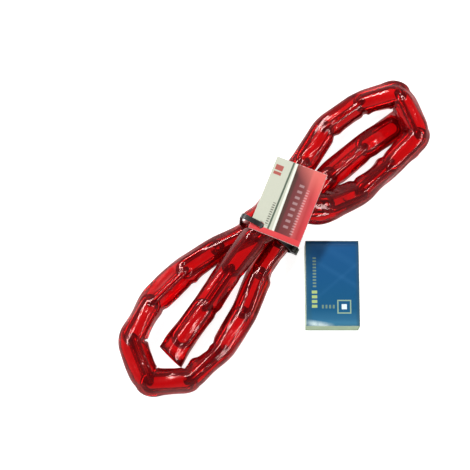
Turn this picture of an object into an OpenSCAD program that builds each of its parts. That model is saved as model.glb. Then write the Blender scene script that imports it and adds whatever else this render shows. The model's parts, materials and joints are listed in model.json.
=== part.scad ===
// Security chain in a soft clear sleeve, folded into a tied bundle, with its padlock in a carton.
// Millimetres, +Z up. The set lies on z = 0 and the origin is under the middle of its box.

/* [Chain] */
// Diameter of the link wire
wire_d = 6; // [5.7:0.1:6]
// Width of a link over both sides
link_w = 22; // [21.8:0.1:22.1]
// Length of a link over both ends
link_l = 54; // [53.8:0.1:54]
// Length that one link adds to the chain
pitch = 41.5; // [41.3:0.1:41.6]
// Height of the weld bead on one side of each link
weld = 0.3; // [0.1:0.1:0.4]

/* [Sleeve] */
// Outside diameter of the sleeve
sleeve_d = 25; // [24.8:0.1:25]
// Wall of the sleeve
sleeve_t = 0.8; // [0.6:0.1:0.8]
// How far the sleeve runs on past the first joint point
mouth_l = 17; // [14:1:20]
// Flat sides around the sleeve
sleeve_sides = 16; // [12:4:20]

/* [Cable tie] */
// Width of the strap
tie_w = 4.8; // [3.6:0.2:4.8]
// Thickness of the strap
tie_t = 1.2; // [1:0.1:1.2]
// Play between the strap and the sleeve
tie_play = 0.9; // [0.8:0.1:1]

/* [Card] */
// Width of the folded card
card_w = 50; // [45:1:52]
// Length of the folded card
card_l = 73; // [66:1:75]
// Thickness of one leaf
leaf_t = 0.3; // [0.2:0.05:0.35]
// Diameter of the hole for the tie
card_hole = 6.4; // [6.2:0.1:7]

/* [Carton] */
// Width of the carton
carton_w = 50.5; // [50:0.5:52]
// Length of the carton
carton_l = 81.5; // [78:0.5:84]
// Height of the carton
carton_h = 24; // [22:0.5:25]
// Thickness of the board
board = 0.5; // [0.4:0.05:0.5]

/* [Padlock] */
// Width of the lock body
body_w = 40; // [40:0.5:41]
// Height of the lock body, along the shackle
body_l = 34.5; // [34.5:0.5:35]
// Thickness of the lock body
body_t = 14; // [13.5:0.1:14]
// Diameter of the shackle
shackle_d = 6.3; // [6:0.1:6.3]
// Distance between the middles of the shackle legs
shackle_c = 26.4; // [26.4:0.1:26.6]
// Straight part of the shackle above the body
shackle_rise = 15; // [13:0.5:15]
// How far the shackle springs up
shackle_travel = 9; // [9:0.5:9]
// Diameter of the cylinder plug
plug_d = 9; // [8.8:0.1:9]

/* [Hidden] */
// Middle of the set's box, taken off every place so that the origin is under it
SET_MIDDLE = [4.9, -0.4, 0];

// The chain. One value for each link from the tail end.
START = [-87, -102];
HEADING = [55, 54, 50, 39, 7, 28, 43, 44, 114, 193, 217, 239, 231, 238,
           206, 214, 225, 242, 292, 363, 402, 420, 428, 416, 417, 411, 401, 396];
ROLL = [10, 110, 25, 125, 45, 150, 70, 170, 75, 165, 80, 160, 65, 140,
        45, 135, 70, 155, 70, 0, 115, 40, 135, 45, 135, 45, 115, 10];
// How far each link is pushed in past its neighbours
SLACK = [0.4, 0, 0, 2, 4, 0.6, 0.5, 0, 0, 0.5, 0.6, 0, 0, 0, 3, 2, 0, 0.8, 0.5, 0, 2, 0, 0, 1, 3, 3, 0, 0];
// Height of each link's far joint above a sleeve that lies flat
LIFT = [0, 10.5, 26.8, 29.5, 20, 4, 0, 7, 9, 0, 0, 0, 0.4, 2.8,
        0, 0, 0, 0, 0, 0, 0, 0, 0, 2.8, 0.4, 0, 0, -6.2];
// How far each link's far joint lies beyond the middle of the hook: an upright link reaches further
REACH = [2, 0, 0, 2, 0, 0, 0, -3.5, 3.5, 0, 2, 0, 0, 0, 0, 0, 0, -2, 3.5, -3.5, 0, 0, 0, 0, 0, 0, 0, 0];
LINKS = len(HEADING);

function unit(v) = v / norm(v);
function before(list, i) = i == 0 ? 0 : list[i - 1];
function span(i) = pitch - SLACK[i] - before(REACH, i) + REACH[i];
function far_end(p, i) =
    let (z = sleeve_d / 2 + LIFT[i], run = sqrt(pow(span(i), 2) - pow(z - p.z, 2)))
    [p.x + run * cos(HEADING[i]), p.y + run * sin(HEADING[i]), z];
JOINT = [for (i = 0, p = concat(START - [SET_MIDDLE.x, SET_MIDDLE.y], sleeve_d / 2);
              i <= LINKS;
              p = i < LINKS ? far_end(p, i) : p, i = i + 1) p];
function along(i) = unit(JOINT[i + 1] - JOINT[i]);
function link_middle(i) = JOINT[i] + along(i) * (pitch / 2 - before(REACH, i) - SLACK[i] / 2);
function name_of(i) = str("link_", i < 9 ? "0" : "", i + 1);

// The sleeve. A ring is [middle, direction, half width, half height].
MOUTH_HALF = [13.4, 11.4];
BEND_HALF = 7;
TIP_RUN = 6.5;
END_RUN = 9.5;
FLAT_HALF = [13.2, 6.3];
TIP_HALF = [13.6, 4.8];
END_HALF = [14.2, 3];
function at_height(p, z) = [p.x, p.y, z];
function level(v) = unit([v.x, v.y, 0]);
function round_ring(p, d) = [p, d, sleeve_d / 2, sleeve_d / 2];
function joint_ring(i) =
    let (d = unit(along(i - 1) + along(i)))
    [JOINT[i], d, sleeve_d / 2 / (d * along(i)), sleeve_d / 2];
function flat_ring(run, half) =
    let (d = level(along(LINKS - 1)))
    [at_height(JOINT[LINKS] + d * run, half[1]), d, half[0], half[1]];
MOUTH = [[at_height(JOINT[0] - along(0) * mouth_l, MOUTH_HALF[1]), along(0), MOUTH_HALF[0], MOUTH_HALF[1]],
         round_ring(JOINT[0], along(0))];
BEND = [round_ring(JOINT[1] - along(0) * BEND_HALF, along(0)),
        round_ring(JOINT[1] + along(1) * BEND_HALF, along(1))];
FLAT_END = [flat_ring(0, FLAT_HALF), flat_ring(TIP_RUN, TIP_HALF), flat_ring(END_RUN, END_HALF)];
function rings(a, b) = [for (i = [a:b]) joint_ring(i)];
// Name of each stretch and its rings. The sleeve is one tube, parted where it bends and at easy places.
STRETCHES = [
    ["sleeve_tail", [MOUTH[0], MOUTH[1], BEND[0]]],
    ["sleeve_bend", BEND],
    ["sleeve_crossing", concat([BEND[1]], rings(2, 6))],
    ["sleeve_upper_right", rings(6, 9)],
    ["sleeve_upper_left", rings(9, 12)],
    ["sleeve_left_run", rings(12, 16)],
    ["sleeve_lower_left", rings(16, 19)],
    ["sleeve_lower_right", rings(19, 23)],
    ["sleeve_waist_run", rings(23, 26)],
    ["sleeve_flat_end", concat([joint_ring(26), joint_ring(27)], FLAT_END)]];

// The tie stands in one plane. The band runs round the places where three strands pass through it.
TIE_AT = [-4, -2.3, 0.2] - SET_MIDDLE;
TIE_HEADING = -28;
TIE_LEAN = 2;
TIE_U = [cos(TIE_HEADING), sin(TIE_HEADING), 0];
TIE_W = [sin(TIE_HEADING) * sin(TIE_LEAN), -cos(TIE_HEADING) * sin(TIE_LEAN), cos(TIE_LEAN)];
TIE_N = cross(TIE_U, TIE_W);
function strand(i) =
    let (a = JOINT[i] - TIE_AT, b = JOINT[i + 1] - TIE_AT, q = a + (b - a) * (a * TIE_N) / ((a - b) * TIE_N))
    [q * TIE_U, q * TIE_W];
STRAND_LEFT = strand(14);
STRAND_RIGHT = strand(23);
STRAND_TOP = strand(3);
// Through the card, over it and down again beside it
OVER_CARD = [[-5.8, 53.7], [-11.2, 57.4], [-23.2, 57.4], [-26.4, 55.6], [-28, 51.5]];
tie_r = sleeve_d / 2 + tie_play + tie_t / 2;
left_r = STRAND_LEFT.y - tie_t / 2;
right_r = STRAND_RIGHT.y - tie_t / 2;

// The card. The hole's middle and the slope of its plane.
CARD_AT = [-11.9, -0.3, 54.7] - SET_MIDDLE;
CARD_HEADING = 68;
CARD_SLOPE = 2.5;
CARD_HOLE_IN = [9.7, 6.4];
fold_gap = 0.2;

// The carton and all that is in it, in a frame at the middle of its foot
CARTON_AT = [56, -48.9, 0] - SET_MIDDLE;
tray_play = 0.15;
tray_w = carton_w - 2 * (board + tray_play);
tray_l = carton_l - 0.6;
tray_h = carton_h - 2 * (board + tray_play);
tray_z = board + tray_play;
lock_z = tray_z + board + 0.2 + body_t / 2;
body_top = -3;
body_foot = body_top - body_l;
LATCH_Y = body_top - 5;
latch_s = 3.6;
latch_in = 4.75;
latch_travel = 1.8;
toe_l = 8.5;
heel_l = 22;
bore_play = 0.1;
plug_top = -17.5;
chamber_d = plug_d + 0.3;
CAM = [4.5, 2.5];
// Depth of each cut in the key from its tip, and where the pins stand over the cuts
CUTS = [1.2, 2.2, 0.8, 1.7, 1.3];
CUT_STEP = 3;
PIN_Y = [for (i = [0:4]) plug_top - 4 - CUT_STEP * i];
pin_d = 2.2;
blade_w = 6.2;
keyway_x = -3.7;
key_t = 2;
key_z = lock_z + body_t / 2 + 0.02;

STEEL = "silver";
RED = [0.78, 0.05, 0.08, 0.75];
BRASS = [0.83, 0.68, 0.3];

// ---- Chain ----

module half_ring(side) {
    translate([side * (link_l - link_w) / 2, 0, 0])
        rotate([0, 0, -side * 90])
            rotate_extrude(angle = 180, $fn = 36)
                translate([(link_w - wire_d) / 2, 0])
                    circle(d = wire_d, $fn = 24);
}

module link_shape() {
    straight = link_l - link_w;
    half_ring(1);
    half_ring(-1);
    for (side = [-1, 1])
        translate([0, side * (link_w - wire_d) / 2, 0])
            rotate([0, 90, 0])
                cylinder(d = wire_d, h = straight, center = true, $fn = 24);
    translate([0, (link_w - wire_d) / 2, 0])
        rotate([0, 90, 0])
            cylinder(d = wire_d + 2 * weld, h = 2.4, center = true, $fn = 24);
}

module chain_link(i) {
    d = along(i);
    color(STEEL)
        translate(link_middle(i))
            rotate([0, -asin(d.z), HEADING[i]])
                rotate([ROLL[i], 0, 0])
                    link_shape();
}

// ---- Sleeve ----

function ring_points(r, inset) =
    let (side = unit(cross([0, 0, 1], r[1])), up = cross(r[1], side), n = sleeve_sides)
    [for (k = [0:n - 1])
        r[0] + side * (r[2] - inset) * cos(360 * k / n) + up * (r[3] - inset) * sin(360 * k / n)];

// Two triangles for each side between two rings of points that start at a and b
function skirt(a, b, n) =
    [for (k = [0:n - 1], t = [0:1])
        let (m = (k + 1) % n)
        t == 0 ? [a + k, a + m, b + m] : [a + k, b + m, b + k]];

module tube(rows) {
    n = sleeve_sides;
    last = len(rows) - 1;
    inner = n * len(rows);
    points = concat([for (r = rows) each ring_points(r, 0)], [for (r = rows) each ring_points(r, sleeve_t)]);
    faces = concat(
        [for (i = [0:last - 1]) each skirt(i * n, (i + 1) * n, n)],
        [for (i = [0:last - 1]) each skirt(inner + (i + 1) * n, inner + i * n, n)],
        skirt(inner, 0, n),
        skirt(last * n, inner + last * n, n));
    polyhedron(points = points, faces = faces, convexity = 10);
}

module sleeve(s) color(RED) tube(s[1]);

// ---- Cable tie ----

function arc(c, r, from, to, steps) =
    [for (i = [0:steps]) let (a = from + (to - from) * i / steps) c + r * [cos(a), sin(a)]];

// Moves each point of a closed path out by r along the mean of its two sides' normals
function grown(path, r) =
    let (n = len(path))
    [for (i = [0:n - 1])
        let (d0 = path[i] - path[(i + n - 1) % n], d1 = path[(i + 1) % n] - path[i],
             n0 = [d0.y, -d0.x] / norm(d0), n1 = [d1.y, -d1.x] / norm(d1))
        path[i] + (n0 + n1) * r / (1 + n0 * n1)];

tie_path = concat(
    arc(STRAND_RIGHT, right_r, -90, 32, 8),
    arc(STRAND_TOP, tie_r, 32, 84, 5),
    OVER_CARD,
    arc(STRAND_LEFT, left_r, 180, 270, 7));

module in_tie_plane() {
    translate(TIE_AT)
        rotate([0, 0, TIE_HEADING])
            rotate([90 + TIE_LEAN, 0, 0])
                children();
}

module cable_tie() {
    head = [5.4, 8, 6.4];
    head_angle = 12;
    color([0.08, 0.08, 0.09])
        in_tie_plane() {
            linear_extrude(tie_w, center = true)
                polygon(concat(grown(tie_path, tie_t / 2), grown(tie_path, -tie_t / 2)),
                    paths = [[for (i = [0:len(tie_path) - 1]) i],
                             [for (i = [0:len(tie_path) - 1]) i + len(tie_path)]]);
            translate(STRAND_RIGHT)
                rotate(head_angle)
                    translate([right_r + head.x / 2 - tie_t / 2, 0, 0]) {
                        difference() {
                            cube(head, center = true);
                            translate([head.x / 4, 0, 0])
                                cube([tie_t + 0.4, head.y + 1, tie_w + 0.2], center = true);
                        }
                        translate([head.x / 4 + 0.2, 3, 0])
                            cube([tie_t, 15, tie_w - 0.2], center = true);
                    }
        }
}

// ---- Card ----

module header_card() {
    stack = 2 * leaf_t + fold_gap;
    color([0.86, 0.9, 0.84])
        translate(CARD_AT)
            rotate([0, 0, CARD_HEADING - 90])
                rotate([CARD_SLOPE, 0, 0])
                    translate([-CARD_HOLE_IN.x, -CARD_HOLE_IN.y, 0])
                        difference() {
                            translate([stack / 2, 0, 0])
                                cube([card_w - stack / 2, card_l, stack]);
                            translate([stack / 2, -1, leaf_t])
                                cube([card_w, card_l + 2, fold_gap]);
                            translate([CARD_HOLE_IN.x, CARD_HOLE_IN.y, -1])
                                cylinder(d = card_hole, h = 3, $fn = 32);
                        }
    color([0.86, 0.9, 0.84])
        translate(CARD_AT)
            rotate([0, 0, CARD_HEADING - 90])
                rotate([CARD_SLOPE, 0, 0])
                    translate([stack / 2 - CARD_HOLE_IN.x, -CARD_HOLE_IN.y, stack / 2])
                        rotate([-90, 0, 0])
                            difference() {
                                cylinder(d = stack, h = card_l, $fn = 24);
                                translate([0, 0, -1])
                                    cylinder(d = fold_gap, h = card_l + 2, $fn = 24);
                                translate([0, -stack, -1])
                                    cube([stack, 2 * stack, card_l + 2]);
                            }
}

// ---- Carton ----

module in_carton() {
    translate(CARTON_AT)
        children();
}

module carton_sleeve() {
    color([0.07, 0.3, 0.6])
        in_carton()
            difference() {
                translate([-carton_w / 2, -carton_l / 2, 0])
                    cube([carton_w, carton_l, carton_h]);
                translate([board - carton_w / 2, -carton_l, board])
                    cube([carton_w - 2 * board, 2 * carton_l, carton_h - 2 * board]);
            }
}

module carton_tray() {
    color([0.85, 0.87, 0.6])
        in_carton()
            translate([0, 0, tray_z])
                difference() {
                    translate([-tray_w / 2, -tray_l / 2, 0])
                        cube([tray_w, tray_l, tray_h]);
                    translate([board - tray_w / 2, board - tray_l / 2, board])
                        cube([tray_w - 2 * board, tray_l - 2 * board, tray_h]);
                }
}

// ---- Padlock ----

// Turns a shape's +Z to the lock's +Y, with the lock's middle plane at z = 0
module in_lock() {
    in_carton()
        translate([0, 0, lock_z])
            children();
}

module up_y(y) {
    translate([0, y, 0])
        rotate([-90, 0, 0])
            children();
}

module out_x(x, y) {
    translate([x, y, 0])
        rotate([0, 90, 0])
            children();
}

module lock_body() {
    edge = 2;
    bore = shackle_d + 2 * bore_play;
    color(BRASS)
        in_lock()
            difference() {
                union() {
                    translate([-body_w / 2, body_foot + edge, -body_t / 2])
                        cube([body_w, body_l - 2 * edge, body_t]);
                    translate([edge - body_w / 2, body_foot, -body_t / 2])
                        cube([body_w - 2 * edge, body_l, body_t]);
                    for (x = [-1, 1], y = [body_foot + edge, body_top - edge])
                        translate([x * (body_w / 2 - edge), y, 0])
                            cylinder(r = edge, h = body_t, center = true, $fn = 48);
                }
                translate([-shackle_c / 2, 0, 0])
                    up_y(body_foot + 3)
                        cylinder(d = bore, h = body_l, $fn = 48);
                translate([shackle_c / 2, 0, 0])
                    up_y(body_top - toe_l - 0.5)
                        cylinder(d = bore, h = body_l, $fn = 48);
                up_y(body_foot - 1)
                    cylinder(d = plug_d + 0.1, h = plug_top - body_foot + 1, $fn = 48);
                up_y(plug_top - 0.1)
                    cylinder(d = chamber_d, h = LATCH_Y + latch_s / 2 + 0.4 - plug_top, $fn = 48);
                translate([-shackle_c / 2, LATCH_Y - latch_s / 2 - 0.1, -latch_s / 2 - 0.1])
                    cube([shackle_c, latch_s + 0.2, latch_s + 0.2]);
                for (y = PIN_Y)
                    out_x(0, y)
                        cylinder(d = pin_d + 0.1, h = body_w / 2 + 1, $fn = 24);
            }
}

// Side cut on the inner face of a leg, in the plane of the shackle, from the face inwards.
// Below the latch it runs out on a ramp, as slow as the latch draws back.
function notch(end_y) =
    let (top = LATCH_Y + latch_s / 2 + 0.2, low = LATCH_Y - latch_s / 2 - 0.2,
         slope = latch_travel / shackle_travel)
    [[-1, top], [1.95, top], [1.95, low], [1.95 - slope * (low - end_y), end_y], [-1, end_y]];

module shackle() {
    leg = (shackle_c - shackle_d) / 2;
    heel_end = body_top - heel_l;
    toe_end = body_top - toe_l;
    color(STEEL)
        in_lock()
            difference() {
                union() {
                    translate([-shackle_c / 2, 0, 0])
                        up_y(heel_end)
                            cylinder(d = shackle_d, h = heel_l + shackle_rise, $fn = 48);
                    translate([shackle_c / 2, 0, 0])
                        up_y(toe_end)
                            cylinder(d = shackle_d, h = toe_l + shackle_rise, $fn = 48);
                    translate([0, body_top + shackle_rise, 0])
                        rotate_extrude(angle = 180, $fn = 72)
                            translate([shackle_c / 2, 0])
                                circle(d = shackle_d, $fn = 48);
                }
                translate([leg, 0, -shackle_d])
                    linear_extrude(2 * shackle_d)
                        polygon(notch(toe_end - 1));
                mirror([1, 0, 0])
                    translate([leg, 0, -shackle_d])
                        linear_extrude(2 * shackle_d)
                            polygon(notch(LATCH_Y - latch_s / 2 - 0.2 - 9.75));
            }
}

// A round wire wound round +Z, as one closed solid
module coil(r, wire, turns, height, per_turn = 8, n = 6) {
    steps = turns * per_turn;
    function spot(i) =
        let (a = 360 * i / per_turn, c = [r * cos(a), r * sin(a), wire / 2 + (height - wire) * i / steps])
        [for (k = [0:n - 1])
            c + wire / 2 * cos(360 * k / n) * [cos(a), sin(a), 0] + [0, 0, wire / 2 * sin(360 * k / n)]];
    polyhedron(
        points = [for (i = [0:steps]) each spot(i)],
        faces = concat(
            [for (i = [0:steps - 1]) each skirt(i * n, (i + 1) * n, n)],
            [[for (k = [0:n - 1]) n - 1 - k]],
            [[for (k = [0:n - 1]) steps * n + k]]),
        convexity = 10);
}

module shackle_spring() {
    foot = body_foot + 3.05;
    color(STEEL)
        in_lock()
            translate([-shackle_c / 2, 0, 0])
                up_y(foot)
                    coil(2.4, 0.7, 5, body_top - heel_l - foot - 0.1);
}

module cylinder_plug() {
    color(BRASS)
        in_lock()
            difference() {
                up_y(body_foot)
                    cylinder(d = plug_d, h = plug_top - body_foot, $fn = 48);
                translate([keyway_x, body_foot - 1, -key_t / 2 - 0.1])
                    cube([blade_w + 0.1, body_l, key_t + 0.2]);
                for (y = PIN_Y)
                    out_x(0.2, y)
                        cylinder(d = pin_d + 0.1, h = plug_d, $fn = 24);
            }
}

module lock_cam() {
    color(STEEL)
        in_lock() {
            up_y(plug_top + 0.02)
                cylinder(d = 4.6, h = LATCH_Y - latch_s / 2 - plug_top, $fn = 32);
            up_y(LATCH_Y - latch_s / 2)
                linear_extrude(latch_s)
                    polygon([for (a = [0:15:345]) [CAM.x * cos(a), CAM.y * sin(a)]]);
        }
}

module latch(side) {
    nose = (shackle_c - shackle_d) / 2 + latch_travel - 0.1;
    color(STEEL)
        in_lock()
            translate([side > 0 ? latch_in : -nose, LATCH_Y - latch_s / 2, -latch_s / 2])
                cube([nose - latch_in, latch_s, latch_s]);
}

module pins(from, length, d) {
    in_lock()
        for (y = PIN_Y)
            out_x(from, y)
                cylinder(d = d, h = length, $fn = 24);
}

// The pins stand with their outer ends level with the plug, as they do over the key
module key_pins() {
    color(BRASS)
        in_lock()
            for (i = [0:4])
                out_x(keyway_x + blade_w - CUTS[i] + 0.1, PIN_Y[i])
                    cylinder(d = pin_d, h = plug_d / 2 - keyway_x - blade_w + CUTS[i] - 0.35, $fn = 24);
}

module driver_pins() color(STEEL) pins(plug_d / 2 + 0.1, 3.6, pin_d);

module chamber_plugs() color(BRASS) pins(body_w / 2 - 5.2, 5, pin_d + 0.1);

module pin_springs() {
    from = plug_d / 2 + 3.8;
    color(STEEL)
        in_lock()
            for (y = PIN_Y)
                out_x(from, y)
                    coil(0.75, 0.4, 5, body_w / 2 - 5.3 - from, 6, 6);
}

// ---- Keys ----

// Flat key with its bow at +Y
module key_shape() {
    blade_l = 23;
    bow_r = 11;
    linear_extrude(key_t)
        difference() {
            union() {
                translate([-blade_w / 2, 0])
                    square([blade_w, blade_l + 3]);
                translate([0, blade_l + bow_r - 1])
                    circle(r = bow_r, $fn = 64);
                polygon([[-blade_w / 2, 0.1], [0, -1.8], [blade_w / 2, 0.1]]);
            }
            translate([0, blade_l + 2 * bow_r - 5.5])
                circle(d = 5, $fn = 32);
            for (i = [0:4])
                translate([blade_w / 2, CUT_STEP * (i + 1)])
                    polygon([[0.1, -1.6], [-CUTS[i], -0.4], [-CUTS[i], 0.4], [0.1, 1.6]]);
        }
}

module key(x, turn, layer) {
    color("gainsboro")
        in_carton()
            translate([x, body_foot + 2.5, key_z + layer * (key_t + 0.1)])
                rotate(turn)
                    key_shape();
}

for (i = [0:LINKS - 1])
    chain_link(i);
for (s = STRETCHES)
    sleeve(s);
cable_tie();
header_card();
carton_sleeve();
carton_tray();
lock_body();
shackle();
shackle_spring();
cylinder_plug();
lock_cam();
latch(-1);  // latch_heel
latch(1);  // latch_toe
key_pins();
driver_pins();
pin_springs();
chamber_plugs();
key(-8, 4, 0);  // key_1
key(9, -5, 0);  // key_2
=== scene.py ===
"""Looks of the sleeved chain, its tie, card, carton, padlock and keys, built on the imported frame."""

import json
import math

import bmesh
import bpy
import numpy as np
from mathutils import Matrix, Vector
from mathutils.geometry import delaunay_2d_cdt

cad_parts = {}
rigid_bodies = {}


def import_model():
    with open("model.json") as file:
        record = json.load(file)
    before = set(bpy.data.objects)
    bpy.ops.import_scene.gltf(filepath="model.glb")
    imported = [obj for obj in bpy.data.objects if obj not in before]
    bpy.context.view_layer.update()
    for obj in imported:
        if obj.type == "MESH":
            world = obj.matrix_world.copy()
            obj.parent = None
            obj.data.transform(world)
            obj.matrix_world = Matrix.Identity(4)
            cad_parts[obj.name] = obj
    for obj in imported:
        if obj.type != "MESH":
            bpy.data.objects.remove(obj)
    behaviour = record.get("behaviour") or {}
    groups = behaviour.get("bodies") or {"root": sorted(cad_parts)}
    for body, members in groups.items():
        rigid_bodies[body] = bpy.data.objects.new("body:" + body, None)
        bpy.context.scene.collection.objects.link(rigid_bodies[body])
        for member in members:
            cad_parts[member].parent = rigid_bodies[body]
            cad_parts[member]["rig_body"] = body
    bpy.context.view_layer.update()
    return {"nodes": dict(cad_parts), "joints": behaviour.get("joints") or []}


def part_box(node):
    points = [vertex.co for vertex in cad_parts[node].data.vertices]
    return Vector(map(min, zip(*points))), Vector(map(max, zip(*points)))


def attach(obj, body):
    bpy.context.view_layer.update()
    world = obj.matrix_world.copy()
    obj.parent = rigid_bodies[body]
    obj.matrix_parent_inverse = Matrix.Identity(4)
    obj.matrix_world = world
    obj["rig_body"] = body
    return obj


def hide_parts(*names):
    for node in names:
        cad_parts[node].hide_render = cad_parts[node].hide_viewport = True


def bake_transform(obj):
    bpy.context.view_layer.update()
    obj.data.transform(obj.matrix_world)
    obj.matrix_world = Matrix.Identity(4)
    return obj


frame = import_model()
nodes = frame["nodes"]
MM = 0.001

# ---- Small helpers ----


def mesh_points(obj):
    co = np.zeros(len(obj.data.vertices) * 3)
    obj.data.vertices.foreach_get("co", co)
    return co.reshape(-1, 3)


def unit(v):
    return v / np.linalg.norm(v)


def add_mesh(name, points, faces, smooth=True):
    mesh = bpy.data.meshes.new(name)
    mesh.from_pydata([tuple(p) for p in points], [], faces)
    mesh.update()
    obj = bpy.data.objects.new(name, mesh)
    bpy.context.scene.collection.objects.link(obj)
    for p in mesh.polygons:
        p.use_smooth = smooth
    return obj


def store(obj, name, kind, values):
    """Keep a value for each vertex, for the material."""
    a = obj.data.attributes.new(name, kind, "POINT")
    part = "vector" if kind == "FLOAT_VECTOR" else "value"
    a.data.foreach_set(part, np.asarray(values, dtype=np.float32).ravel())


def apply_modifiers(obj):
    graph = bpy.context.evaluated_depsgraph_get()
    done = bpy.data.meshes.new_from_object(obj.evaluated_get(graph))
    obj.modifiers.clear()
    obj.data = done
    return obj


def bevelled_copy(node, name, width, angle=35, segments=2):
    """A copy of a CAD node with its sharp edges rounded, which is shown in its place."""
    obj = bpy.data.objects.new(name, nodes[node].data.copy())
    bpy.context.scene.collection.objects.link(obj)
    bm = bmesh.new()
    bm.from_mesh(obj.data)
    bmesh.ops.remove_doubles(bm, verts=bm.verts, dist=1e-6)
    bmesh.ops.dissolve_limit(bm, angle_limit=math.radians(1), verts=bm.verts, edges=bm.edges)
    bm.to_mesh(obj.data)
    bm.free()
    bevel = obj.modifiers.new("bevel", "BEVEL")
    bevel.width = width
    bevel.segments = segments
    bevel.angle_limit = math.radians(angle)
    for p in obj.data.polygons:
        p.use_smooth = True
    even = obj.modifiers.new("even", "WEIGHTED_NORMAL")
    even.weight = 100
    even.keep_sharp = False
    apply_modifiers(obj)
    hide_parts(node)
    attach(obj, nodes[node]["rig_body"])
    return obj


def smoothstep(x):
    x = np.clip(x, 0, 1)
    return x * x * (3 - 2 * x)


# ---- Materials ----


class Shader:
    """A material's node tree, with short calls for the nodes used here."""

    def __init__(self, name):
        self.material = bpy.data.materials.new(name)
        self.material.use_nodes = True
        self.tree = self.material.node_tree
        self.tree.nodes.clear()
        self.out = self.node("ShaderNodeOutputMaterial")

    def node(self, kind, **settings):
        n = self.tree.nodes.new(kind)
        for key, value in settings.items():
            setattr(n, key, value)
        return n

    def put(self, socket, value):
        if isinstance(value, bpy.types.NodeSocket):
            self.tree.links.new(value, socket)
        elif value is not None:
            socket.default_value = value

    def principled(self, **sockets):
        n = self.node("ShaderNodeBsdfPrincipled")
        for key, value in sockets.items():
            self.put(n.inputs[key.replace("_", " ")], value)
        return n

    def surface(self, socket):
        self.tree.links.new(socket, self.out.inputs["Surface"])
        return self.material

    def math(self, operation, a, b=None, c=None):
        n = self.node("ShaderNodeMath", operation=operation)
        for i, value in enumerate((a, b, c)):
            self.put(n.inputs[i], value)
        return n.outputs[0]

    def times(self, a, b):
        return self.math("MULTIPLY", a, b)

    def plus(self, a, b):
        return self.math("ADD", a, b)

    def invert(self, x):
        return self.math("SUBTRACT", 1.0, x)

    def mix(self, factor, a, b):
        n = self.node("ShaderNodeMix", data_type="RGBA")
        self.put(n.inputs[0], factor)
        self.put(n.inputs[6], a)
        self.put(n.inputs[7], b)
        return n.outputs[2]

    def ramp(self, factor, stops):
        n = self.node("ShaderNodeValToRGB")
        e = n.color_ramp.elements
        while len(e) < len(stops):
            e.new(0.5)
        for element, (place, colour) in zip(e, stops):
            element.position = place
            element.color = colour if len(colour) == 4 else (*colour, 1)
        self.put(n.inputs[0], factor)
        return n.outputs[0]

    def noise(self, scale, detail=3.0, rough=0.5, vector=None):
        n = self.node("ShaderNodeTexNoise")
        self.put(n.inputs["Scale"], scale)
        self.put(n.inputs["Detail"], detail)
        self.put(n.inputs["Roughness"], rough)
        self.put(n.inputs["Vector"], vector if vector is not None else self.place())
        return n.outputs[0]

    def place(self):
        """The point in the object's own frame, which is the row frame."""
        return self.node("ShaderNodeTexCoord").outputs["Object"]

    def attribute(self, name):
        n = self.node("ShaderNodeAttribute", attribute_name=name)
        return n

    def bump(self, height, strength=0.3, distance=0.0002, normal=None):
        n = self.node("ShaderNodeBump")
        n.inputs["Strength"].default_value = strength
        n.inputs["Distance"].default_value = distance
        self.put(n.inputs["Height"], height)
        self.put(n.inputs["Normal"], normal)
        return n.outputs[0]

    def step(self, x, at, soft):
        """0 below at and 1 above it, over a width of soft."""
        n = self.node("ShaderNodeMath", operation="MULTIPLY_ADD", use_clamp=True)
        for socket, value in zip(n.inputs, (x, 1 / soft, 0.5 - at / soft)):
            self.put(socket, value)
        return n.outputs[0]

    def band(self, x, low, high, soft=0.25):
        """1 where low < x < high."""
        return self.math("SUBTRACT", self.step(x, low, soft), self.step(x, high, soft))

    def both(self, *masks):
        out = masks[0]
        for m in masks[1:]:
            out = self.math("MULTIPLY", out, m)
        return out

    def dashes(self, x, length, share, soft=0.12):
        """Marks repeated along x, each covering a share of its length."""
        place = self.math("FRACT", self.math("DIVIDE", x, length))
        return self.band(place, soft / 2, share, soft)


def metal(name, colour, rough, brushed=None, spots=0.08, scratch=0.15, metallic=1.0):
    """Metal with fine grain, dull patches and, where asked, brush lines along an axis."""
    s = Shader(name)
    fine = s.noise(900, 4, 0.6)
    broad = s.noise(60, 3, 0.5)
    worn = s.mix(s.times(broad, spots * 2), (*colour, 1), tuple(c * 0.72 for c in colour) + (1,))
    tone = s.mix(s.times(fine, 0.25), worn, tuple(min(1, c * 1.12) for c in colour) + (1,))
    roughness = s.plus(rough - 0.06, s.times(s.noise(220, 3, 0.6), 0.16))
    height = fine
    if brushed:
        m = s.node("ShaderNodeMapping")
        s.put(m.inputs["Vector"], s.place())
        m.inputs["Scale"].default_value = brushed
        height = s.noise(2600, 2, 0.5, m.outputs[0])
    b = s.bump(height, scratch, 0.00008)
    body = s.principled(Base_Color=tone, Metallic=metallic, Roughness=roughness, Normal=b)
    return s.surface(body.outputs[0])


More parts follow.
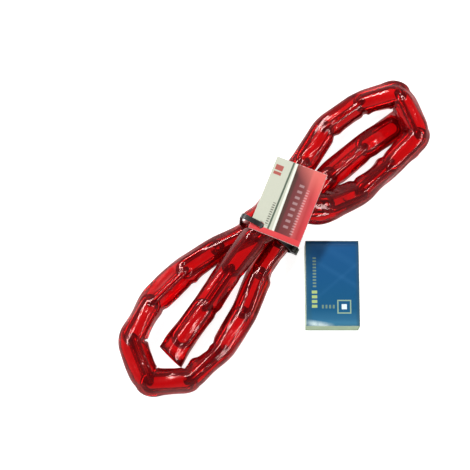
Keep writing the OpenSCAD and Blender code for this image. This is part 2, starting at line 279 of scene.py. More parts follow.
def sleeve_material():
    """Soft clear PVC wall, seen once for each face that is looked through."""
    s = Shader("clear red pvc")
    cloud = s.noise(70, 3, 0.55)
    lie = s.attribute("lie").outputs["Vector"]
    drawn = s.noise(1.0, 3, 0.55, lie)
    contact_shade = s.attribute("contact_shade").outputs["Fac"]
    tint = s.mix(cloud, (0.80, 0.066, 0.064, 1), (0.70, 0.026, 0.042, 1))
    # Painted shade: the tint is darkened where the wall touches the links
    tint = s.mix(s.times(contact_shade, 0.35), tint, (0.50, 0.006, 0.02, 1))
    edge = s.node("ShaderNodeLayerWeight")
    edge.inputs["Blend"].default_value = 0.45
    grazing = s.math("POWER", edge.outputs["Facing"], 2.0)
    tint = s.mix(grazing, tint, (0.50, 0.004, 0.035, 1))
    clear = s.node("ShaderNodeBsdfTransparent")
    s.put(clear.inputs["Color"], tint)
    relief = s.plus(s.times(cloud, 1.2), s.times(drawn, 0.5))
    normal = s.bump(relief, 0.5, 0.0011)
    body = s.principled(Base_Color=(0.45, 0.001, 0.008, 1), Roughness=0.35, Normal=normal)
    body.inputs["Specular IOR Level"].default_value = 0.1
    film = s.node("ShaderNodeMixShader")
    s.put(film.inputs[0], s.plus(0.06, s.times(cloud, 0.10)))
    s.put(film.inputs[1], clear.outputs[0])
    s.put(film.inputs[2], body.outputs[0])
    # A broad sheen, coloured by the plastic, under a thin bright gloss
    sheen = s.node("ShaderNodeBsdfGlossy")
    sheen.inputs["Color"].default_value = (0.80, 0.17, 0.17, 1)
    sheen.inputs["Roughness"].default_value = 0.20
    s.put(sheen.inputs["Normal"], normal)
    gloss = s.node("ShaderNodeBsdfGlossy")
    gloss.inputs["Color"].default_value = (1, 0.84, 0.82, 1)
    s.put(gloss.inputs["Roughness"], s.plus(0.02, s.times(drawn, 0.08)))
    s.put(gloss.inputs["Normal"], normal)
    shine = s.node("ShaderNodeMixShader")
    shine.inputs[0].default_value = 0.50
    s.put(shine.inputs[1], sheen.outputs[0])
    s.put(shine.inputs[2], gloss.outputs[0])
    fresnel = s.node("ShaderNodeFresnel")
    fresnel.inputs["IOR"].default_value = 1.5
    s.put(fresnel.inputs["Normal"], normal)
    top = s.node("ShaderNodeMixShader")
    s.put(top.inputs[0], fresnel.outputs[0])
    s.put(top.inputs[1], film.outputs[0])
    s.put(top.inputs[2], shine.outputs[0])
    return s.surface(top.outputs[0])


# ---- Chain: where each link lies, read from its node ----

PITCH = 41.5 * MM
WIRE_R = 3.0 * MM
RING_R = 8.0 * MM
STRAIGHT = 32.0 * MM
LINKS = [n for n in sorted(nodes) if n.startswith("link_")]


def link_frame(name):
    """Middle, long axis and width axis of a link."""
    co = mesh_points(nodes[name])
    middle = co.mean(0)
    values, axes = np.linalg.eigh(np.cov((co - middle).T))
    long_axis, width = axes[:, 2], axes[:, 1]
    for axis in (long_axis, width, axes[:, 0]):
        d = (co - middle) @ axis
        middle = middle + axis * (d.max() + d.min()) / 2
    return middle, long_axis, width


def wire_line(middle, long_axis, width, steps=14):
    """Points on the middle line of a link's wire."""
    turn = np.linspace(-math.pi / 2, math.pi / 2, steps)
    ends = [(STRAIGHT / 2 + RING_R * math.cos(a), RING_R * math.sin(a)) for a in turn]
    side = [(x, RING_R) for x in np.linspace(STRAIGHT / 2, -STRAIGHT / 2, 30)[1:-1]]
    half = ends + side
    both = half + [(-x, -y) for x, y in half]
    return np.array([middle + long_axis * x + width * y for x, y in both])


frames = [link_frame(n) for n in LINKS]
for i, (m, a, w) in enumerate(frames):
    onward = frames[i + 1][0] - m if i + 1 < len(frames) else m - frames[i - 1][0]
    if a @ onward < 0:
        frames[i] = (m, -a, w)
WIRES = [wire_line(*f) for f in frames]
joints = [frames[0][0] - frames[0][1] * PITCH / 2]
for (m0, a0, _), (m1, a1, _) in zip(frames, frames[1:]):
    joints.append(((m0 + a0 * PITCH / 2) + (m1 - a1 * PITCH / 2)) / 2)
joints.append(frames[-1][0] + frames[-1][1] * PITCH / 2)

# ---- Sleeve ----

SLEEVE_R = 12.5 * MM
MOUTH_RUN = 17 * MM
END_RUN = 9.5 * MM
STEP = 1.5 * MM
AROUND = 56
WALL = 0.8 * MM

# Half width of the sleeve along the chain: a link number (its middle is at .5) and millimetres
HALF_WIDTH = [(-0.4, 14.6), (-0.1, 13.6), (0.3, 12.6), (1.5, 13.0), (3.5, 12.6), (4.6, 13.4),
              (5.5, 14.2), (6.0, 12.6), (6.5, 10.8), (7.5, 12.4),
              (8.6, 12.4), (9.5, 11.6), (10.5, 11.8), (11.5, 13.6), (12.5, 13.0), (13.6, 11.6), (14.4, 11.6),
              (15.5, 13.0), (16.5, 15.2), (17.5, 11.6), (18.5, 12.6), (19.5, 12.0), (20.5, 9.6), (21.5, 13.0),
              (22.5, 13.0), (23.4, 11.2), (23.9, 10.6), (25.0, 12.0), (26.5, 13.6), (27.3, 13.0),
              (27.9, 13.2),
              (28.2, 14.0)]
# Dents and bulges: link number, angle around from the left side, millimetres, length in millimetres
SHAPED = [(20.35, 0, 3.4, 7), (20.75, 0, -1.6, 5), (20.02, 0, 2.2, 5), (15.9, 0, 1.5, 6), (19.0, 0, 1.5, 5),
          (4.72, 180, 4.2, 22), (18.0, 180, 1.6, 22), (18.6, 180, 2.2, 30), (19.0, 180, 0.6, 14),
          (13.80, 180, 5.4, 14), (23.3, 180, -4.2, 17), (6.9, 0, 1.4, 6), (7.6, 180, 1.2, 8),
          (9.9, 0, 1.6, 6), (11.1, 0, -1.2, 7), (22.9, 180, 1.2, 9)]


def corner_setback(bend):
    half = bend / 2
    return min(19 * MM, max(8 * MM, 13.5 * MM * math.tan(half) / max(0.2, math.cos(half))))


def smooth_route(corners):
    """Points close together on the corners' path, and where each corner comes on it (as a distance)."""
    points = [corners[0]]
    marks = [0]
    for before, here, after in zip(corners, corners[1:], corners[2:]):
        d0, d1 = unit(here - before), unit(after - here)
        back = corner_setback(math.acos(np.clip(d0 @ d1, -1, 1)))
        back = min(back, np.linalg.norm(here - before) * 0.48, np.linalg.norm(after - here) * 0.48)
        p0, p2 = here - d0 * back, here + d1 * back
        for t in np.linspace(0, 1, 17):
            points.append(p0 * (1 - t) ** 2 + here * 2 * t * (1 - t) + p2 * t * t)
            if abs(t - 0.5) < 1e-6:
                marks.append(len(points) - 1)
    points.append(corners[-1])
    marks.append(len(points) - 1)
    points = np.array(points)
    run = np.concatenate([[0], np.cumsum(np.linalg.norm(np.diff(points, axis=0), axis=1))])
    total = run[-1]
    count = int(total / STEP)
    at = np.linspace(0, total, count + 1)
    line = np.stack([np.interp(at, run, points[:, k]) for k in range(3)], axis=1)
    return line, at, run[marks]


first, last = unit(joints[1] - joints[0]), unit((joints[-1] - joints[-2]) * [1, 1, 0])
mouth = joints[0] - first * MOUTH_RUN
tip = joints[-1] + last * END_RUN
corners = [mouth] + joints[1:] + [tip]
line, at, marks = smooth_route([np.array(c) for c in corners])
# Link number at each place: 0 at the first joint, 28 at the last
last_number = len(joints) - 1 + END_RUN / PITCH
known = np.concatenate([[-MOUTH_RUN / PITCH, 0], np.arange(1, len(joints)), [last_number]])
numbers = np.interp(at, np.concatenate([[0, MOUTH_RUN], marks[1:]]), known)
tangent = np.gradient(line, axis=0)
tangent /= np.linalg.norm(tangent, axis=1)[:, None]
side = np.cross([0, 0, 1], tangent)
side /= np.linalg.norm(side, axis=1)[:, None]
up = np.cross(tangent, side)
angles = np.linspace(0, 2 * math.pi, AROUND, endpoint=False)
compass = np.stack([np.cos(angles), np.sin(angles)], axis=1)


def smooth_along(rows, reach):
    """Rows blurred along the sleeve, reach in metres."""
    n = max(1, int(3 * reach / STEP))
    kernel = np.exp(-0.5 * (np.arange(-n, n + 1) * STEP / reach) ** 2)
    kernel /= kernel.sum()
    padded = np.concatenate([np.repeat(rows[:1], n, 0), rows, np.repeat(rows[-1:], n, 0)])
    return np.stack([np.convolve(padded[:, k], kernel, "valid") for k in range(rows.shape[1])], axis=1)


def widest_near(rows, reach):
    n = int(reach / STEP)
    return np.max([np.roll(rows, k, axis=0) for k in range(-n, n + 1)], axis=0)


def chain_support():
    """How far the links reach in each direction around, at each place along the sleeve."""
    rows = np.zeros((len(line), AROUND))
    for i, (c, t, s, u) in enumerate(zip(line, tangent, side, up)):
        near = range(max(0, int(numbers[i]) - 1), min(len(WIRES), int(numbers[i]) + 2))
        p = np.concatenate([WIRES[k] for k in near]) - c
        p = p[np.abs(p @ t) < 3.2 * MM]
        if len(p):
            flat = np.stack([p @ s, p @ u], axis=1)
            rows[i] = (flat @ compass.T).max(0) + WIRE_R
    return smooth_along(widest_near(rows, 1.6 * MM), 1.6 * MM)


def drape_support():
    """The slack tube: an oval of constant girth whose width comes from HALF_WIDTH, resting on the ground."""
    wide = np.interp(numbers, *zip(*HALF_WIDTH)) * MM
    high = np.sqrt(np.clip(2 * (12.1 * MM) ** 2 - wide ** 2, (8.6 * MM) ** 2, (12.6 * MM) ** 2))
    pressed = smoothstep((numbers - 27.2) / 0.8)
    high = high * (1 - pressed) + 5.6 * MM * pressed
    high = np.where(numbers > 28, 5.6 * MM - (numbers - 28) / (END_RUN / PITCH) * 2.6 * MM, high)
    loose = smoothstep((0.0 - numbers) / 0.4)
    high = high * (1 - loose) + 10.6 * MM * loose
    sink = np.where(line[:, 2] < 14 * MM, np.clip(line[:, 2] - high - 0.2 * MM, 0, 4 * MM), 0)
    rows = np.sqrt((wide[:, None] * compass[:, 0]) ** 2 + (high[:, None] * compass[:, 1]) ** 2)
    rows -= sink[:, None] * up[:, 2:] * compass[None, :, 1]
    return smooth_along(rows, 4 * MM)


TURN = compass @ compass.T
REACH = np.where(TURN > 0.2, 1 / np.maximum(TURN, 0.2), 1e3)


def hull_radius(support):
    """Radius in each direction of the convex section with this support."""
    return (support[:, None, :] * REACH[None, :, :]).min(2)


def sleeve_radius():
    links = chain_support()
    radius = hull_radius(np.maximum(links + 0.6 * MM, drape_support()))
    place = at[:, None]
    rng = np.random.default_rng(7)
    folds = np.zeros_like(radius)
    for lobes, size, wave in ((3, 0.26, 0.055), (5, 0.24, 0.034), (7, 0.16, 0.021), (2, 0.18, 0.016),
                              (9, 0.05, 0.011)):
        phase, drift = rng.uniform(0, 2 * math.pi, 2)
        folds += size * MM * np.sin(lobes * angles[None, :] + phase + 2.5 * np.sin(place / wave + drift))
    radius = radius + folds
    for k in range(1, len(corners) - 1):
        d0, d1 = unit(corners[k] - corners[k - 1]), unit(corners[k + 1] - corners[k])
        bend = math.degrees(math.acos(np.clip(d0 @ d1, -1, 1)))
        if bend < 9:
            continue
        inner = 0 if np.cross(d0, d1)[2] > 0 else math.pi
        deep = min(2.4, bend * 0.06) * MM
        facing = np.clip(np.cos(angles - inner), 0, 1) ** 2
        radius -= deep * np.exp(-0.5 * ((place - marks[k]) / (2.2 * MM)) ** 2) * facing[None, :]
        for shift in (-7.5 * MM, 7.5 * MM):
            near = np.exp(-0.5 * ((place - marks[k] - shift) / (3 * MM)) ** 2)
            radius += 0.35 * deep * near * facing[None, :]
    for number, angle, amount, length in SHAPED:
        middle = np.interp(number, numbers, at)
        facing = np.clip(np.cos(angles - math.radians(angle)), 0, 1) ** 3
        radius += amount * MM * np.exp(-0.5 * ((place - middle) / (length * MM / 2)) ** 2) * facing[None, :]
    inside = hull_radius(links)
    return np.maximum(radius, inside + 0.5 * MM), radius - inside


radius, gap = sleeve_radius()
outward = side[:, None, :] * compass[None, :, :1] + up[:, None, :] * compass[None, :, 1:]
rows = line[:, None, :] + radius[:, :, None] * outward
lowest = 0.25 * MM
rows[:, :, 2] = np.maximum(rows[:, :, 2], lowest + 0.15 * (rows[:, :, 2] - lowest))
rows[:, :, 2] = np.maximum(rows[:, :, 2], 0.05 * MM)
# The cut at the free end runs a little slantwise
near_mouth = smoothstep(1 - at / (16 * MM))[:, None]
rows += (near_mouth * (2.2 * MM) * compass[None, :, 0])[:, :, None] * tangent[:, None, :]
rows -= (near_mouth * 1.6 * MM)[:, :, None] * side[:, None, :]
# How closely the wall lies on the links, kept for the painted shade in the sleeve's tint
contact_shade_rows = np.exp(-np.clip(gap, 0, 1) / (0.7 * MM))
lying = np.stack([np.repeat(at[:, None] * 25, AROUND, 1),
                  np.repeat(3.2 * np.cos(angles)[None, :], len(at), 0),
                  np.repeat(3.2 * np.sin(angles)[None, :], len(at), 0)], axis=2)


def tube(name, rows, contact_shade_rows, lying, lip_first=False, lip_last=False):
    """An open tube through rings of points, with a lip that shows the wall's thickness where asked."""
    rings, contact_shade, lie = list(rows), list(contact_shade_rows), list(lying)
    if lip_first:
        rings = lip(rings[0], rings[4]) + rings
        contact_shade, lie = [contact_shade[0]] * 2 + contact_shade, [lie[0]] * 2 + lie
    if lip_last:
        rings = rings + lip(rings[-1], rings[-5])[::-1]
        contact_shade, lie = contact_shade + [contact_shade[-1]] * 2, lie + [lie[-1]] * 2
    n = len(rings[0])
    faces = []
    for i in range(len(rings) - 1):
        for k in range(n):
            m = (k + 1) % n
            faces.append((i * n + k, i * n + m, (i + 1) * n + m, (i + 1) * n + k))
    obj = add_mesh(name, np.concatenate(rings), faces)
    store(obj, "contact_shade", "FLOAT", np.concatenate(contact_shade))
    store(obj, "lie", "FLOAT_VECTOR", np.concatenate(lie))
    return obj


def lip(edge, within):
    """Rings that turn the wall over at its cut edge and a little way back inside."""
    middle, deep = edge.mean(0), within.mean(0)
    inward = edge + (middle - edge) / np.linalg.norm(middle - edge, axis=1)[:, None] * WALL
    back = within + (deep - within) / np.linalg.norm(deep - within, axis=1)[:, None] * WALL
    return [back, inward]


pvc = sleeve_material()
split = int(np.searchsorted(numbers, 3.6))
end = split + 1
tail_sleeve = tube("sleeve_free_end", rows[:end], contact_shade_rows[:end], lying[:end], lip_first=True)
main_sleeve = tube("sleeve_run", rows[split:], contact_shade_rows[split:], lying[split:], lip_last=True)
for obj in (tail_sleeve, main_sleeve):
    obj.data.materials.append(pvc)
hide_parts("sleeve_tail", "sleeve_bend")
TAIL_NODES = ("sleeve_tail", "sleeve_bend")
run_nodes = [n for n in sorted(nodes) if n.startswith("sleeve_") and n not in TAIL_NODES]
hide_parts(*run_nodes)
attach(main_sleeve, "bundle")
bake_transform(tail_sleeve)

# ---- Links ----

zinc = metal("zinc plated steel", (0.46, 0.44, 0.43), 0.22, spots=0.3)
for n in LINKS:
    nodes[n].data.materials.clear()
    nodes[n].data.materials.append(zinc)
    for p in nodes[n].data.polygons:
        p.use_smooth = True

# ---- Cable tie ----

s = Shader("black nylon")
grain = s.noise(1500, 3, 0.6)
tone = s.mix(s.noise(90), (0.006, 0.006, 0.007, 1), (0.014, 0.014, 0.013, 1))
rough = s.plus(0.28, s.times(s.noise(300), 0.2))
body = s.principled(Base_Color=tone, Roughness=rough, Normal=s.bump(grain, 0.2, 0.00006))
body.inputs["Specular IOR Level"].default_value = 0.35
nylon = s.surface(body.outputs[0])
tie = bevelled_copy("cable_tie", "tie", 0.28 * MM)
tie.data.materials.clear()
tie.data.materials.append(nylon)

# ---- Card ----

joints_by_name = {j["name"]: j for j in frame["joints"]}
LEAF = 0.3 * MM
FOLD_GAP = 0.2 * MM
CARD_W, CARD_L = 50.0, 73.0
HOLE_AT, HOLE_R = (9.7, 6.4), 3.2
card_joint = joints_by_name["card_turn"]
card_up = unit(np.array(card_joint["axis"]))
card_x = np.array([math.cos(math.radians(-22)), math.sin(math.radians(-22)), 0])
card_y = np.cross(card_up, card_x)
card_corner = np.array(card_joint["pos_m"]) - card_x * HOLE_AT[0] * MM - card_y * HOLE_AT[1] * MM


def flat_triangles(outline, holes, inside):
    """Triangles over a flat outline with round holes, in millimetres: points and faces."""
    points, edges = [], []
    turns = np.linspace(0, 2 * math.pi, 28, endpoint=False)
    loops = [outline] + [[(x + r * math.cos(a), y + r * math.sin(a)) for a in turns]
                         for x, y, r in holes]
    for loop in loops:
        first = len(points)
        points += [Vector(p) for p in loop]
        edges += [(first + i, first + (i + 1) % len(loop)) for i in range(len(loop))]
    for x, y in inside:
        if all(math.hypot(x - hx, y - hy) > r + 0.6 for hx, hy, r in holes):
            points.append(Vector((x, y)))
    flat, _, faces, _, _, _ = delaunay_2d_cdt(points, edges, [], 0, 1e-4)
    flat = [tuple(p) for p in flat]
    kept = []
    for f in faces:
        x, y = np.mean([flat[i] for i in f], axis=0)
        if all(math.hypot(x - hx, y - hy) > r * 0.99 for hx, hy, r in holes):
            kept.append(tuple(f))
    return np.array(flat), kept


def rim_points(corners, gap):
    out = []
    for (x0, y0), (x1, y1) in zip(corners, corners[1:] + corners[:1]):
        n = max(1, round(math.hypot(x1 - x0, y1 - y0) / gap))
        out += [(x0 + (x1 - x0) * i / n, y0 + (y1 - y0) * i / n) for i in range(n)]
    return out


def make_card():
    """One sheet folded along its left edge, with its free corners a little curled."""
    arc = (LEAF + FOLD_GAP) / 2 / MM
    half = arc * math.pi / 2
    wide = CARD_W - 0.4 + half
    across = sorted(set([round(x, 4) for x in np.arange(-49, 49.5, 1.75) if abs(x) > 1.2]
                        + [round(half * k / 4, 4) for k in range(-4, 5)]))
    inside = [(x, y) for x in across for y in np.arange(1.5, CARD_L - 1, 2.0)]
    hole_s = HOLE_AT[0] - 0.4 + half
    flat, faces = flat_triangles(rim_points([(-wide, 0), (wide, 0), (wide, CARD_L), (-wide, CARD_L)], 2.0),
                                 [(hole_s, HOLE_AT[1], HOLE_R), (-hole_s, HOLE_AT[1], HOLE_R)], inside)
    points, printed = [], []
    for s, v in flat:
        top = s >= 0
        if abs(s) <= half:
            a = s / arc
            x, z = 0.4 - arc * math.cos(a), 0.4 + arc * math.sin(a)
        else:
            x, z = 0.4 + abs(s) - half, 0.4 + arc * (1 if top else -1)
        out, low, high = smoothstep((x - 24) / 26), smoothstep((24 - v) / 24), smoothstep((v - 48) / 25)
        curl = -1.5 * out * low + 0.9 * out * high + 0.25 * math.sin(v / 11 + 0.4) * smoothstep(x / 40)
        curl += (1.1 if top else -0.35) * smoothstep((x - 14) / 36) * (0.35 + 0.65 * high)
        points.append(card_corner + card_x * x * MM + card_y * v * MM + card_up * (z + curl) * MM)
        printed.append((x if top else -x, v, 0))
    obj = add_mesh("card", points, faces)
    store(obj, "print", "FLOAT_VECTOR", printed)
    solid = obj.modifiers.new("thick", "SOLIDIFY")
    solid.thickness = LEAF
    solid.offset = 0
    solid.material_offset = 1
    solid.material_offset_rim = 1
    return obj


def fibre_bump(s, strength=0.25):
    fibre = s.node("ShaderNodeMapping")
    s.put(fibre.inputs["Vector"], s.place())
    fibre.inputs["Scale"].default_value = (1, 0.35, 1)
    return s.bump(s.noise(1400, 4, 0.65, fibre.outputs[0]), strength, 0.00006)


def plain_board(name, light, dark):
    s = Shader(name)
    tone = s.mix(s.noise(260, 4, 0.6), light, dark)
    tone = s.mix(s.times(s.noise(1900, 2, 0.7), 0.3), tone, tuple(c * 0.8 for c in dark[:3]) + (1,))
    rough = s.plus(0.66, s.times(s.noise(500), 0.2))
    return s.surface(s.principled(Base_Color=tone, Roughness=rough, Normal=fibre_bump(s, 0.4)).outputs[0])


def card_print():
    """Pale margin, dark panel that turns to red, red foot, and generic marks in place of the words."""
    s = Shader("card print")
    spot = s.attribute("print").outputs["Vector"]
    xyz = s.node("ShaderNodeSeparateXYZ")
    s.put(xyz.inputs[0], spot)
    x, y = xyz.outputs[0], xyz.outputs[1]
    grain = s.noise(700, 3, 0.6)
    pale = s.mix(grain, (0.525, 0.535, 0.44, 1), (0.475, 0.495, 0.40, 1))
    edge_x = s.math("MULTIPLY_ADD", y, -0.035, 23.6)
    lean = s.math("SUBTRACT", x, edge_x)
    panel = s.ramp(s.math("DIVIDE", lean, 27.0), [
        (0.0, (0.060, 0.026, 0.020)), (0.10, (0.075, 0.028, 0.023)), (0.17, (0.14, 0.028, 0.031)),
        (0.42, (0.17, 0.038, 0.038)), (0.56, (0.22, 0.050, 0.050)), (0.62, (0.48, 0.09, 0.09)),
        (0.80, (0.41, 0.036, 0.040)), (1.0, (0.60, 0.048, 0.06))])
    lift = s.step(s.plus(s.times(y, 1.0), s.times(x, 0.9)), 96.0, 22.0)
    panel = s.mix(s.times(lift, 0.75), panel, (0.70, 0.155, 0.13, 1))
    colour = s.mix(s.step(lean, 0.0, 0.35), pale, panel)
    white = s.band(s.plus(lean, 2.2), 0.0, 2.1, 0.3)
    colour = s.mix(s.times(white, 0.75), colour, (0.76, 0.78, 0.70, 1))
    rule = s.band(x, 16.3, 18.1, 0.35)
    colour = s.mix(s.times(rule, 0.92), colour, (0.055, 0.085, 0.055, 1))
    # Small dark type along the rule, as plain dashes
    type_dark = s.both(s.band(x, 12.8, 15.4, 0.5), s.band(y, 8.0, 31.0, 0.4), s.dashes(y, 2.3, 0.62, 0.2))
    colour = s.mix(s.times(type_dark, 0.8), colour, (0.06, 0.06, 0.045, 1))
    # Silver bars where the panel's words stand
    big = s.both(s.band(x, 29.6, 34.2, 0.7), s.band(y, 9.0, 56.0, 0.4), s.dashes(y, 5.9, 0.46, 0.12))
    small = s.both(s.band(x, 37.6, 40.4, 0.6), s.band(y, 8.0, 53.0, 0.4), s.dashes(y, 2.6, 0.58, 0.2))
    silver = s.plus(s.times(big, 0.26), s.times(small, 0.30))
    colour = s.mix(silver, colour, (0.80, 0.62, 0.62, 1))
    # A plain red block with a pale stripe in the pale margin
    block = s.both(s.band(x, 2.2, 9.6, 0.4), s.band(y, 56.4, 66.0, 0.4),
                   s.invert(s.band(y, 59.4, 60.8, 0.35)))
    colour = s.mix(s.times(block, 0.88), colour, (0.36, 0.035, 0.030, 1))
    # Red foot, and the back of the card in plain pale print with a red foot
    foot = s.mix(grain, (0.66, 0.06, 0.065, 1), (0.56, 0.045, 0.05, 1))
    front = s.mix(s.step(y, 5.6, 0.5), foot, colour)
    lines = s.both(s.band(x, -44.0, -8.0, 0.5), s.band(y, 14.0, 62.0, 0.5), s.dashes(y, 4.0, 0.22, 0.1))
    back = s.mix(s.times(lines, 0.7), pale, (0.12, 0.13, 0.11, 1))
    back = s.mix(s.step(y, 5.6, 0.5), foot, back)
    colour = s.mix(s.step(x, 0.0, 0.1), back, front)
    # The print is worn white along the edges and the fold
    out = s.math("ABSOLUTE", x)
    inset = s.math("MINIMUM", y, s.math("SUBTRACT", CARD_L, y))
    inset = s.math("MINIMUM", inset, s.math("SUBTRACT", CARD_W, out))
    inset = s.math("MINIMUM", inset, s.plus(out, 0.1))
    worn = s.both(s.invert(s.step(inset, 0.35, 0.5)), s.step(s.noise(900, 3, 0.7), 0.5, 0.3))
    colour = s.mix(s.times(worn, 0.7), colour, (0.74, 0.74, 0.70, 1))
    rough = s.plus(0.30, s.times(s.noise(160), 0.16))
    body = s.principled(Base_Color=colour, Roughness=rough, Normal=fibre_bump(s, 0.12))
    body.inputs["Specular IOR Level"].default_value = 0.22
    body.inputs["Coat Weight"].default_value = 0.06
    body.inputs["Coat Roughness"].default_value = 0.18
    return s.surface(body.outputs[0])


card = make_card()
card.data.materials.append(card_print())
card.data.materials.append(plain_board("card inside", (0.72, 0.72, 0.68, 1), (0.62, 0.62, 0.57, 1)))
apply_modifiers(card)
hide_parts("header_card")
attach(card, "card")

# ---- Carton ----

low, high = (np.array(c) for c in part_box("carton_sleeve"))
middle = (low + high) / 2
half_x, half_y, half_z = (high - low) / 2
BOARD = 0.5 * MM


def box_loop(hx, hz, r, bow):
    """A rounded rectangle in X and Z, its long sides a little bowed."""
    loop = []
    for cx, cz, start in ((1, 1, 0), (-1, 1, 90), (-1, -1, 180), (1, -1, 270)):
        for a in np.linspace(start, start + 90, 6):
            turn = math.radians(a)
            loop.append((cx * (hx - r) + r * math.cos(turn), cz * (hz - r) + r * math.sin(turn)))
        nxt = {0: (-1, 1), 90: (-1, -1), 180: (1, -1), 270: (1, 1)}[start]
        x0, z0 = loop[-1]
        a = math.radians(start + 90)
        x1, z1 = nxt[0] * (hx - r) + r * math.cos(a), nxt[1] * (hz - r) + r * math.sin(a)
        n = 10 if start in (0, 180) else 5
        for k in range(1, n):
            t = k / n
            swell = bow * math.sin(math.pi * t) if start == 0 else 0
            loop.append((x0 + (x1 - x0) * t + math.cos(a) * swell, z0 + (z1 - z0) * t + math.sin(a) * swell))
    return loop


def make_carton():
    """A sleeve of board, folded at its four long edges."""
    outer = box_loop(half_x, half_z, 0.9 * MM, 0)
    inner = box_loop(half_x - BOARD, half_z - BOARD, 0.4 * MM, 0)
    n = len(outer)
    points, faces = [], []
    stations = np.linspace(-half_y, half_y, 22)
    for loop, tuck in ((outer, 1), (inner, 0)):
        for y in stations:
            end = abs(y) > half_y - 0.01 * MM
            for x, z in loop:
                mouth = 0.12 * MM if end and tuck else 0
                place = [x - math.copysign(mouth, x), y, z - math.copysign(mouth, z)]
                points.append(middle + np.array(place))
    m = len(stations)
    at_ = lambda shell, i, k: shell * m * n + i * n + k % n
    for i in range(m - 1):
        for k in range(n):
            faces.append((at_(0, i, k), at_(0, i, k + 1), at_(0, i + 1, k + 1), at_(0, i + 1, k)))
            faces.append((at_(1, i + 1, k), at_(1, i + 1, k + 1), at_(1, i, k + 1), at_(1, i, k)))
    for k in range(n):
        faces.append((at_(0, 0, k + 1), at_(0, 0, k), at_(1, 0, k), at_(1, 0, k + 1)))
        faces.append((at_(0, m - 1, k), at_(0, m - 1, k + 1), at_(1, m - 1, k + 1), at_(1, m - 1, k)))
    obj = add_mesh("carton", points, faces)
    bm = bmesh.new()
    bm.from_mesh(obj.data)
    bmesh.ops.recalc_face_normals(bm, faces=bm.faces)
    bm.to_mesh(obj.data)
    bm.free()
    inner_from = m * n
    for p in obj.data.polygons:
        own = [v >= inner_from for v in p.vertices]
        p.material_index = 1 if any(own) else 0
    local = (mesh_points(obj) - middle) / MM
    store(obj, "print", "FLOAT_VECTOR", local)
    return obj


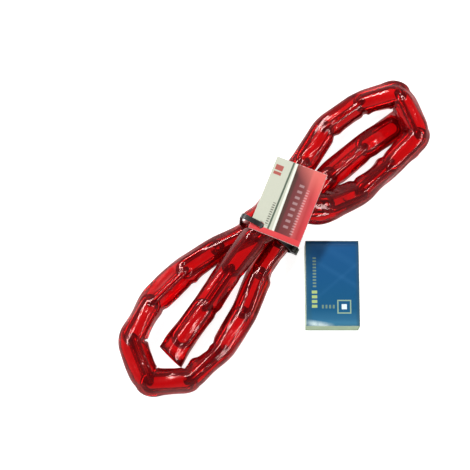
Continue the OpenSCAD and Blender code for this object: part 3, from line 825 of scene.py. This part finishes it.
def carton_print():
    """Blue top with plain marks, a framed block, and yellow-green sides."""
    s = Shader("carton print")
    spot = s.attribute("print").outputs["Vector"]
    xyz = s.node("ShaderNodeSeparateXYZ")
    s.put(xyz.inputs[0], spot)
    x, y, z = xyz.outputs
    side, end, lid = half_x / MM, half_y / MM, half_z / MM
    grain = s.noise(800, 3, 0.6)
    down = s.ramp(s.math("DIVIDE", s.plus(y, end), 2 * end), [
        (0.0, (0.055, 0.21, 0.33)), (0.08, (0.022, 0.125, 0.235)), (0.20, (0.004, 0.080, 0.180)),
        (0.55, (0.002, 0.072, 0.192)), (0.92, (0.002, 0.070, 0.205)), (0.985, (0.006, 0.042, 0.11)),
        (1.0, (0.04, 0.10, 0.15))])
    # Soft slanting bands of lighter blue
    slant = s.math("MULTIPLY_ADD", x, 0.62, y)
    other = s.math("MULTIPLY_ADD", x, -0.85, y)
    soft = s.times(s.band(slant, 9.0, 13.5, 4.0), 0.5)
    soft = s.plus(soft, s.times(s.band(other, -3.0, 0.5, 3.5), 0.4))
    soft = s.plus(soft, s.times(s.band(slant, 27.0, 34.0, 5.0), 0.35))
    colour = s.mix(s.times(soft, 0.5), down, (0.018, 0.115, 0.27, 1))
    left = s.invert(s.step(x, -21.0, 5.0))
    colour = s.mix(s.times(left, 0.42), colour, (0.030, 0.095, 0.105, 1))
    # Painted shade: the top is darkened along its right edge
    right_edge_shade = s.step(x, 22.6, 3.0)
    colour = s.mix(s.times(right_edge_shade, 0.5), colour, (0.030, 0.065, 0.08, 1))
    # Marks up the left side: large ones, then small ones
    yellow = s.mix(grain, (0.40, 0.52, 0.19, 1), (0.33, 0.44, 0.17, 1))
    large = s.both(s.band(x, -19.6, -14.6, 0.5), s.band(y, -23.6, -6.0, 0.3),
                   s.dashes(s.plus(y, 23.6), 4.5, 0.68, 0.1))
    little = s.both(s.band(x, -18.6, -15.4, 0.6), s.band(y, -4.0, 26.0, 0.3),
                    s.dashes(s.plus(y, 4.0), 3.0, 0.6, 0.16))
    code = s.both(s.band(y, -24.0, -20.6, 0.5), s.band(x, -10.6, 2.4, 0.4),
                  s.dashes(s.plus(x, 10.6), 3.4, 0.6, 0.16))
    colour = s.mix(large, colour, yellow)
    colour = s.mix(s.times(little, 0.42), colour, yellow)
    colour = s.mix(s.times(code, 0.38), colour, yellow)
    # A plain pale block in a square frame
    from_mark = s.math("MAXIMUM", s.math("ABSOLUTE", s.math("SUBTRACT", x, 10.6)),
                       s.math("ABSOLUTE", s.plus(y, 22.4)))
    frame_line = s.band(from_mark, 5.4, 6.5, 0.5)
    colour = s.mix(s.times(frame_line, 0.75), colour, (0.36, 0.50, 0.30, 1))
    block = s.both(s.band(x, 8.2, 13.0, 0.4), s.band(y, -24.8, -20.0, 0.4))
    colour = s.mix(s.times(block, 0.95), colour, (0.72, 0.84, 0.90, 1))
    # Sides
    cream = s.mix(s.noise(120, 3), (0.34, 0.42, 0.26, 1), (0.25, 0.33, 0.19, 1))
    top = s.step(z, lid - 0.45, 0.25)
    colour = s.mix(top, cream, colour)
    # Worn folds and ends
    crease = s.both(s.band(z, lid - 0.8, lid + 0.2, 0.5), s.invert(s.band(x, 0.4 - side, side - 0.4, 0.5)))
    ends = s.invert(s.band(y, 0.3 - end, end - 0.3, 0.5))
    worn = s.both(s.math("MAXIMUM", crease, ends), s.step(s.noise(650, 3, 0.7), 0.42, 0.3))
    colour = s.mix(s.times(worn, 0.62), colour, (0.56, 0.62, 0.50, 1))
    # Painted reflection: pale glare blotches low on the left
    slope = s.math("MULTIPLY_ADD", x, 0.16, y)
    painted_glare = s.both(s.band(slope, -4.0 - end, 1.2 - end, 4.0), s.band(x, -22.5, -2.0, 8.0),
                   s.step(s.noise(240, 3, 0.6), 0.30, 0.5))
    colour = s.mix(s.times(painted_glare, 0.85), colour, (0.72, 0.86, 0.84, 1))
    rough = s.plus(0.28, s.times(s.noise(140), 0.2))
    body = s.principled(Base_Color=colour, Roughness=rough, Normal=fibre_bump(s, 0.15))
    body.inputs["Specular IOR Level"].default_value = 0.14
    body.inputs["Coat Weight"].default_value = 0.04
    body.inputs["Coat Roughness"].default_value = 0.15
    return s.surface(body.outputs[0])


board_grey = plain_board("bare board", (0.36, 0.47, 0.30, 1), (0.28, 0.38, 0.23, 1))
carton = make_carton()
carton.data.materials.append(carton_print())
carton.data.materials.append(board_grey)
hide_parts("carton_sleeve")
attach(carton, "carton")

tray = bevelled_copy("carton_tray", "tray", 0.16 * MM)
tray.data.materials.clear()
tray.data.materials.append(board_grey)

# ---- Padlock and keys ----

brass = metal("brushed brass", (0.36, 0.22, 0.065), 0.44, brushed=(0.04, 1, 1), spots=0.22, scratch=0.3)
turned_brass = metal("turned brass", (0.66, 0.44, 0.16), 0.24, brushed=(1, 0.04, 1), spots=0.12, scratch=0.2)
chrome = metal("chrome", (0.62, 0.63, 0.65), 0.10, spots=0.05, scratch=0.05)
steel = metal("turned steel", (0.42, 0.42, 0.43), 0.28, brushed=(1, 0.04, 1), spots=0.15, scratch=0.2)
spring_wire = metal("spring wire", (0.33, 0.33, 0.34), 0.3, spots=0.2)
nickel = metal("nickel plate", (0.22, 0.21, 0.19), 0.46, brushed=(1, 0.05, 1), spots=0.12, scratch=0.22)

for node, name, width, finish, slot in (
        ("lock_body", "padlock_body", 0.35, brass, "lock_body"),
        ("shackle", "padlock_shackle", 0.3, chrome, "shackle"),
        ("cylinder_plug", "padlock_plug", 0.15, turned_brass, "plug"),
        ("lock_cam", "padlock_cam", 0.15, steel, "steel_pins"),
        ("latch_heel", "padlock_latch_heel", 0.25, steel, "steel_pins"),
        ("latch_toe", "padlock_latch_toe", 0.25, steel, "steel_pins"),
        ("key_1", "key_first", 0.22, nickel, "keys"), ("key_2", "key_second", 0.22, nickel, "keys")):
    piece = bevelled_copy(node, name, width * MM)
    piece.data.materials.clear()
    piece.data.materials.append(finish)

for node, finish in (("shackle_spring", spring_wire), ("pin_springs", spring_wire), ("driver_pins", steel),
                     ("key_pins", turned_brass), ("chamber_plugs", turned_brass)):
    nodes[node].data.materials.clear()
    nodes[node].data.materials.append(finish)

# ---- Stage ----

floor = add_mesh("floor", [(-3, -3, 0), (3, -3, 0), (3, 3, 0), (-3, 3, 0)], [(0, 1, 2, 3)], smooth=False)
s = Shader("floor")
pale = s.principled(Base_Color=(0.55, 0.55, 0.55, 1), Roughness=0.9, Emission_Color=(1, 1, 1, 1))
pale.inputs["Emission Strength"].default_value = 0.90
floor.data.materials.append(s.surface(pale.outputs[0]))

# The room is bright around the table and dim overhead
world = bpy.data.worlds.new("studio")
world.use_nodes = True
sky = world.node_tree
height = sky.nodes.new("ShaderNodeSeparateXYZ")
sky.links.new(sky.nodes.new("ShaderNodeTexCoord").outputs["Generated"], height.inputs[0])
shade = sky.nodes.new("ShaderNodeValToRGB")
shade.color_ramp.elements[0].position = 0.15
shade.color_ramp.elements[0].color = (0.70, 0.70, 0.72, 1)
shade.color_ramp.elements[1].position = 0.85
shade.color_ramp.elements[1].color = (0.12, 0.12, 0.12, 1)
sky.links.new(height.outputs["Z"], shade.inputs[0])
sky.links.new(shade.outputs[0], sky.nodes["Background"].inputs[0])
bpy.context.scene.world = world


def softbox(name, place, aim, size, power, tall=None):
    light = bpy.data.lights.new(name, "AREA")
    light.shape = "RECTANGLE"
    light.size = size
    light.size_y = tall or size
    light.energy = power
    obj = bpy.data.objects.new(name, light)
    bpy.context.scene.collection.objects.link(obj)
    obj.location = place
    obj.rotation_euler = (Vector(aim) - Vector(place)).to_track_quat("-Z", "Y").to_euler()
    return obj


softbox("key", (-0.75, 0.5, 1.3), (0, 0, 0), 1.3, 25, tall=0.16)
softbox("fill", (0.95, -0.35, 1.1), (0, 0, 0), 0.9, 8, tall=0.12)
softbox("glint", (0.2, 0.55, 1.5), (0, 0, 0), 0.14, 2.4)

# ---- Camera ----

ELEVATION = math.radians(77)
DISTANCE = 1.5
AIM = Vector((-0.0404, 0.0034, 0))
camera = bpy.data.objects.new("camera", bpy.data.cameras.new("camera"))
bpy.context.scene.collection.objects.link(camera)
camera.location = AIM + DISTANCE * Vector((0, -math.cos(ELEVATION), math.sin(ELEVATION)))
camera.rotation_euler = (AIM - camera.location).to_track_quat("-Z", "Y").to_euler()
camera.data.lens = 119.7
camera.data.sensor_width = 36
bpy.context.scene.camera = camera
bpy.context.scene.view_settings.view_transform = "Standard"
